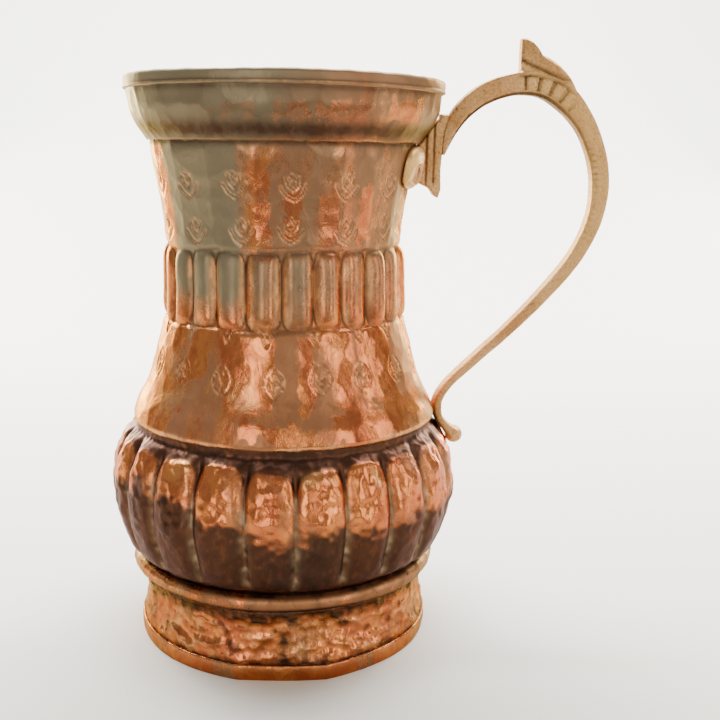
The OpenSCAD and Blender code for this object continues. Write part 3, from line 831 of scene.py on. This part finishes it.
class Nodes:
    """Short names for making and joining shader nodes."""

    def __init__(self, name):
        self.material = bpy.data.materials.new(name)
        self.material.use_nodes = True
        self.tree = self.material.node_tree
        self.shader = self.tree.nodes["Principled BSDF"]

    def put(self, socket, value):
        if isinstance(value, bpy.types.NodeSocket):
            self.tree.links.new(value, socket)
        elif isinstance(value, tuple) and len(value) == 3 and len(socket.default_value) == 4:
            socket.default_value = (*value, 1)
        else:
            socket.default_value = value

    def place(self, scale):
        """Object coordinates, stretched."""
        node = self.tree.nodes.new("ShaderNodeMapping")
        coords = self.tree.nodes.new("ShaderNodeTexCoord")
        self.tree.links.new(coords.outputs["Object"], node.inputs["Vector"])
        node.inputs["Scale"].default_value = scale
        return node.outputs[0]

    def noise(self, scale, detail=4.0, roughness=0.55, distortion=0.0):
        """Noise with a size in each direction, in waves per metre."""
        node = self.tree.nodes.new("ShaderNodeTexNoise")
        self.put(node.inputs["Vector"], self.place(scale))
        self.put(node.inputs["Scale"], 1.0)
        self.put(node.inputs["Detail"], detail)
        self.put(node.inputs["Roughness"], roughness)
        self.put(node.inputs["Distortion"], distortion)
        return node.outputs[0]

    def field(self, name):
        """One of the numbers stored at the mesh's points."""
        node = self.tree.nodes.new("ShaderNodeAttribute")
        node.attribute_name = name
        return node.outputs["Fac"]

    def math(self, kind, a, b=0.0):
        node = self.tree.nodes.new("ShaderNodeMath")
        node.operation = kind
        self.put(node.inputs[0], a)
        self.put(node.inputs[1], b)
        return node.outputs[0]

    def scaled(self, value, low, high, to_low=0.0, to_high=1.0):
        """Maps low..high onto to_low..to_high, without going past them."""
        node = self.tree.nodes.new("ShaderNodeMapRange")
        for socket, number in zip(node.inputs, (value, low, high, to_low, to_high)):
            self.put(socket, number)
        return node.outputs[0]

    def mix(self, share, a, b):
        node = self.tree.nodes.new("ShaderNodeMix")
        node.data_type = "RGBA"
        self.put(node.inputs[0], share)
        self.put(node.inputs[6], a)
        self.put(node.inputs[7], b)
        return node.outputs[2]

    def bump(self, height, depth, strength=1.0):
        node = self.tree.nodes.new("ShaderNodeBump")
        self.put(node.inputs["Height"], height)
        self.put(node.inputs["Distance"], depth)
        self.put(node.inputs["Strength"], strength)
        self.put(self.shader.inputs["Normal"], node.outputs[0])

    def finish(self, color, roughness):
        self.put(self.shader.inputs["Base Color"], color)
        self.put(self.shader.inputs["Roughness"], roughness)
        return self.material


# Colours of clean, worn and dirty copper and brass, the dark and rubbed ones also laid as painted shade and
# painted highlights, and the tints of their edges
BRIGHT = (0.97, 0.36, 0.11)
DEEP = (0.66, 0.19, 0.08)
TARNISH = (0.33, 0.155, 0.085)
OLIVE = (0.27, 0.232, 0.165)
BROWN = (0.066, 0.038, 0.030)
PALE = (0.95, 0.62, 0.26)
RUBBED_AND_HIGHLIGHT = (0.97, 0.50, 0.23)
DUSTY = (0.55, 0.44, 0.30)
DULL_INSIDE = (0.16, 0.085, 0.05)
EDGE_TINT = (1.0, 0.92, 0.55)
LILAC_EDGE = (0.90, 0.82, 0.88)
BRASS_DEEP = (0.70, 0.37, 0.14)
BRASS_LIGHT = (0.95, 0.62, 0.29)
BRASS_RED = (0.88, 0.48, 0.27)
BRASS_GRIT = (0.25, 0.10, 0.035)
BRASS_DIRT_AND_SHADE = (0.05, 0.02, 0.01)
BRASS_RUBBED_AND_HIGHLIGHT = (1.0, 0.67, 0.27)


def copper(name, tarnished, streak=(55, 55, 14), polish=0.13, edge_tint=EDGE_TINT,
           rubbed=RUBBED_AND_HIGHLIGHT, dirt_dullness=0.14):
    """Beaten copper: bright and deep red patches, brown tarnish, dirt and painted shade in the hollows, wear
    and painted highlights, dull inside.
    tarnished is about the share that has gone brown, streak the size of the patches in waves per metre,
    and polish the roughness where it is clean."""
    n = Nodes(name)
    n.put(n.shader.inputs["Specular Tint"], edge_tint)
    patches = n.noise(streak, 5.0, 0.6, 0.6)
    fine = n.noise((420, 420, 260), 3.0)
    mottled = n.noise((150, 150, 120), 5.0, 0.65, 1.4)
    color = n.mix(n.scaled(patches, 0.4, 0.62), DEEP, BRIGHT)
    pale = n.scaled(n.noise((38, 38, 30), 3.0, 0.5, 1.0), 0.58, 0.7, 0.0, 0.5)
    color = n.mix(pale, color, PALE)
    color = n.mix(n.scaled(mottled, 0.47, 0.60, 0.0, 0.75), color, DEEP)
    cloud = n.math("ADD", n.noise(tuple(0.8 * k for k in streak), 6.0, 0.62, 0.5), n.field("browned"))
    cloud = n.math("ADD", cloud, n.scaled(mottled, 0.3, 0.7, -0.05, 0.05))
    low = 0.72 - 0.44 * tarnished
    tarnish = n.scaled(cloud, low - 0.06, low + 0.06)
    kept_film = n.scaled(n.field("browned"), -0.3, -0.05, 0.1, 1.0)
    filmed = n.math("MULTIPLY", n.scaled(patches, 0.35, 0.6, 0.75, 1.0), kept_film)
    olive = n.math("MULTIPLY", n.field("olive"), filmed)
    color = n.mix(n.math("MULTIPLY", tarnish, 0.92), color, TARNISH)
    color = n.mix(olive, color, OLIVE)
    dull = n.math("MAXIMUM", tarnish, olive)
    # dirt and painted shade in brown, then wear and painted highlights in the rubbed colour
    dirt = n.math("MULTIPLY", n.field("dirt"), n.scaled(fine, 0.3, 0.6, 0.88, 1.0))
    color = n.mix(n.math("MINIMUM", dirt, 0.96), color, BROWN)
    color = n.mix(n.math("MULTIPLY", n.field("rubbed"), n.scaled(fine, 0.35, 0.6, 0.3, 1.0)), color, rubbed)
    color = n.mix(n.math("MULTIPLY", n.field("inside"), 0.85), color, DULL_INSIDE)
    n.put(n.shader.inputs["Metallic"], n.math("MAXIMUM", n.scaled(dull, 0.0, 1.0, 1.0, 0.56), dirt))
    rough = n.scaled(fine, 0.3, 0.7, polish, polish + 0.12)
    matt = n.math("MAXIMUM", n.math("MULTIPLY", dull, 0.14), n.math("MULTIPLY", dirt, dirt_dullness))
    rough = n.math("ADD", rough, matt)
    rough = n.math("ADD", rough, n.math("MULTIPLY", n.field("inside"), 0.25))
    n.bump(n.math("ADD", mottled, n.math("MULTIPLY", fine, 0.3)), 0.00035, 0.6)
    return n.finish(color, rough)


def brass(name):
    """Old cast brass: tan gold, redder in patches, dark in its pits and notches and in painted shadow, bright
    where it is worn and in painted highlights.
    """
    n = Nodes(name)
    n.put(n.shader.inputs["Metallic"], 0.8)
    patches = n.noise((60, 60, 45), 5.0, 0.6, 0.5)
    grit = n.noise((900, 900, 900), 2.0)
    color = n.mix(n.scaled(patches, 0.35, 0.65), BRASS_DEEP, BRASS_LIGHT)
    color = n.mix(n.scaled(n.noise((90, 90, 70), 4.0), 0.52, 0.64, 0.0, 0.5), color, BRASS_RED)
    color = n.mix(n.scaled(grit, 0.48, 0.72, 0.0, 0.42), color, BRASS_GRIT)
    # dirt and painted shadow, then wear and painted highlights
    color = n.mix(n.math("MULTIPLY", n.field("dirt"), 0.9), color, BRASS_DIRT_AND_SHADE)
    color = n.mix(n.field("rubbed"), color, BRASS_RUBBED_AND_HIGHLIGHT)
    rough = n.scaled(grit, 0.3, 0.7, 0.34, 0.56)
    n.bump(n.math("ADD", grit, n.noise((300, 300, 300), 4.0)), 0.0005, 0.6)
    return n.finish(color, rough)


def plain_metal(name, light, dark, roughness):
    """Small fastenings in a worn metal."""
    n = Nodes(name)
    n.put(n.shader.inputs["Metallic"], 1.0)
    patches = n.noise((300, 300, 300), 4.0)
    n.bump(patches, 0.0003, 0.5)
    color = n.mix(n.scaled(patches, 0.35, 0.65), dark, light)
    return n.finish(color, n.scaled(patches, 0.3, 0.7, roughness, 0.6))


# ---- fitting the pieces to the frame ----

# (what builds it, the CAD node it replaces, material slot, material)
PIECES = [
    (lip_band, "lip_band", "neck_copper", copper("copper_lip", 0.6, polish=0.18)),
    (mouth_collar, "mouth_collar", "neck_copper",
     copper("copper_collar", 0.55, streak=(45, 45, 20), polish=0.15)),
    (neck, "neck", "neck_copper",
     copper("copper_neck", 0.55, streak=(75, 75, 8), polish=0.15, dirt_dullness=0.45)),
    (belly, "belly", "belly_copper",
     copper("copper_belly", 0.38, streak=(60, 60, 25), polish=0.16, edge_tint=LILAC_EDGE, rubbed=DUSTY)),
    (base_bead, "base_bead", "foot_copper", copper("copper_bead", 0.6)),
    (foot, "foot", "foot_copper", copper("copper_foot", 0.25, streak=(60, 60, 40))),
    (foot_hem, "foot_hem", "foot_copper", copper("copper_hem", 0.3)),
    (bottom_plate, "bottom_plate", "belly_copper", copper("copper_bottom", 0.6)),
    (handle_bar, "handle_bar", "cast_brass", brass("brass_bar")),
    (handle_saddle, "handle_saddle", "cast_brass", brass("brass_saddle")),
]
for build, node, slot, material in PIECES:
    piece = build()
    piece.data.materials.append(material)
    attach(piece, "root")
    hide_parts(node)

FASTENINGS = {
    "saddle_rivets": plain_metal("rivet_copper_worn", (0.75, 0.36, 0.2), (0.2, 0.08, 0.05), 0.3),
    "saddle_rivet_burrs": plain_metal("burr_copper_worn", (0.6, 0.3, 0.18), (0.2, 0.08, 0.05), 0.35),
    "tail_rivet": plain_metal("rivet_brass_worn", (0.7, 0.5, 0.26), (0.25, 0.14, 0.07), 0.35),
    "tail_rivet_burr": plain_metal("burr_brass_worn", (0.6, 0.42, 0.22), (0.22, 0.12, 0.06), 0.4),
    "rim_wire": plain_metal("wire_iron_worn", (0.32, 0.3, 0.28), (0.1, 0.08, 0.07), 0.45),
}
for node, material in FASTENINGS.items():
    for node_slot in frame["nodes"][node].material_slots:
        node_slot.material = material


# ---- scene ----

# The camera's place in metres, its turns in degrees, and its sensor and lens in millimetres
CAMERA_AT = (0.0, -0.454, 0.220)
CAMERA_PITCH = 11.78
CAMERA_YAW = 4.41
CAMERA_ROLL = 0.87
CAMERA_SENSOR = 36
CAMERA_LENS = 50

# The floor runs from near to far, sweeps up in a quarter circle and goes on as a wall
FLOOR_NEAR = -0.30
FLOOR_FAR = 0.7
FLOOR_HALF_W = 2.4
SWEEP_R = 0.5
WALL_TOP = 2.2
FLOOR_SEEN = (0.93, 0.93, 0.92)
FLOOR_REFLECTED = (0.42, 0.37, 0.30)

ROOM_COLOR = (0.85, 0.80, 0.66, 1)
ROOM_STRENGTH = 0.40
PALE_COLOR = (1, 1, 1, 1)
PALE_STRENGTH = 3.5

JUG_MIDDLE = (0, 0, 0.14)
WINDOW = (1.0, 0.86, 0.68)
EVENING = (1.0, 0.87, 0.60)
# (name, where, what it faces, width, height, watts, colour)
LIGHTS = [
    ("window_left", (-0.58, -1.19, 0.34), JUG_MIDDLE, 0.40, 0.9, 3.6, WINDOW),
    ("window_front", (0.17, -1.31, 0.40), JUG_MIDDLE, 0.18, 0.8, 1.2, WINDOW),
    ("window_right", (0.85, -1.01, 0.36), JUG_MIDDLE, 0.30, 0.9, 2.8, WINDOW),
    ("window_side", (1.28, -0.32, 0.36), JUG_MIDDLE, 0.30, 0.9, 2.6, WINDOW),
    ("rim_left", (-0.66, 0.95, 0.30), JUG_MIDDLE, 0.36, 0.9, 16, EVENING),
    ("rim_right", (0.84, 0.95, 0.30), JUG_MIDDLE, 0.30, 0.9, 11, EVENING),
    ("top", (0.0, 0.45, 1.7), (0, 0.25, 0), 2.4, 1.4, 34, (1.0, 0.97, 0.92)),
    ("wall", (0, 0.45, 1.3), (0, 1.2, 0.5), 2.4, 0.4, 120, (1, 1, 1)),
]


def camera():
    """The camera in front of the jug, a little lower than its lip and turned down."""
    data = bpy.data.cameras.new("camera")
    data.sensor_width = CAMERA_SENSOR
    data.lens = CAMERA_LENS
    obj = bpy.data.objects.new("camera", data)
    turn = Euler((math.radians(90 - CAMERA_PITCH), 0, math.radians(-CAMERA_YAW)), "XYZ").to_matrix()
    roll = Euler((0, 0, math.radians(CAMERA_ROLL)), "XYZ").to_matrix()
    obj.matrix_world = (turn @ roll).to_4x4()
    obj.location = CAMERA_AT
    bpy.context.scene.collection.objects.link(obj)
    bpy.context.scene.camera = obj


def backdrop():
    """A pale floor that sweeps up behind the jug, and lights the metal only softly."""
    line = [(FLOOR_NEAR, 0), (FLOOR_FAR, 0)]
    for turn in np.linspace(0, math.pi / 2, 16)[1:]:
        line.append((FLOOR_FAR + SWEEP_R * math.sin(turn), SWEEP_R - SWEEP_R * math.cos(turn)))
    line.append((FLOOR_FAR + SWEEP_R, WALL_TOP))
    points = [(x, y, z) for y, z in line for x in (-FLOOR_HALF_W, FLOOR_HALF_W)]
    faces = [(2 * i, 2 * i + 1, 2 * i + 3, 2 * i + 2) for i in range(len(line) - 1)]
    mesh = bpy.data.meshes.new("floor")
    mesh.from_pydata(points, [], faces)
    mesh.polygons.foreach_set("use_smooth", [True] * len(faces))
    obj = bpy.data.objects.new("floor", mesh)
    bpy.context.scene.collection.objects.link(obj)
    n = Nodes("pale_floor")
    seen = n.tree.nodes.new("ShaderNodeLightPath").outputs["Is Camera Ray"]
    mesh.materials.append(n.finish(n.mix(seen, FLOOR_REFLECTED, FLOOR_SEEN), 0.9))


def soft_light(name, at, to, width, height, watts, color):
    """A rectangular lamp at one point, facing another."""
    data = bpy.data.lights.new(name, "AREA")
    data.shape = "RECTANGLE"
    data.size, data.size_y = width, height
    data.energy = watts
    data.color = color
    obj = bpy.data.objects.new(name, data)
    obj.location = at
    obj.rotation_mode = "QUATERNION"
    obj.rotation_quaternion = (Vector(to) - Vector(at)).to_track_quat("-Z", "Y")
    bpy.context.scene.collection.objects.link(obj)


def world():
    """Pale where the camera looks past the floor, and a dimmer warm room in what the metal reflects."""
    scene_world = bpy.data.worlds.new("studio")
    bpy.context.scene.world = scene_world
    scene_world.use_nodes = True
    tree = scene_world.node_tree
    room = tree.nodes["Background"]
    room.inputs["Color"].default_value = ROOM_COLOR
    room.inputs["Strength"].default_value = ROOM_STRENGTH
    pale = tree.nodes.new("ShaderNodeBackground")
    pale.inputs["Color"].default_value = PALE_COLOR
    pale.inputs["Strength"].default_value = PALE_STRENGTH
    seen = tree.nodes.new("ShaderNodeLightPath")
    either = tree.nodes.new("ShaderNodeMixShader")
    tree.links.new(seen.outputs["Is Camera Ray"], either.inputs[0])
    tree.links.new(room.outputs[0], either.inputs[1])
    tree.links.new(pale.outputs[0], either.inputs[2])
    tree.links.new(either.outputs[0], tree.nodes["World Output"].inputs["Surface"])


camera()
backdrop()
world()
for light in LIGHTS:
    soft_light(*light)
